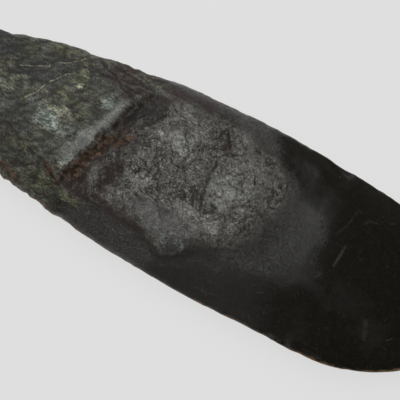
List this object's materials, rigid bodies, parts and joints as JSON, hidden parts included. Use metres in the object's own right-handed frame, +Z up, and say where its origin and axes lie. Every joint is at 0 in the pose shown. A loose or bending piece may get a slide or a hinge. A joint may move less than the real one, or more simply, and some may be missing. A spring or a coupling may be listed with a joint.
{
  "type": "stone spade",
  "caption": "Ground stone spade blade: a long leaf of dark greenstone with a rough narrow poll, a pecked middle and a smooth rounded cutting edge.",
  "frame": {"origin": "on the surface that the stone lies on, under the middle of its length and width", "axes": "+X along the length towards the rounded cutting edge, +Y to the left of it, +Z up out of the worked face"},
  "size_m": [0.33, 0.105, 0.026],
  "materials": {
    "greenstone": "ground smooth at the blade, pecked in the middle, rough natural skin at the poll"
  },
  "bodies": {
    "root": {"stone_spade": "greenstone"}
  },
  "joints": []
}
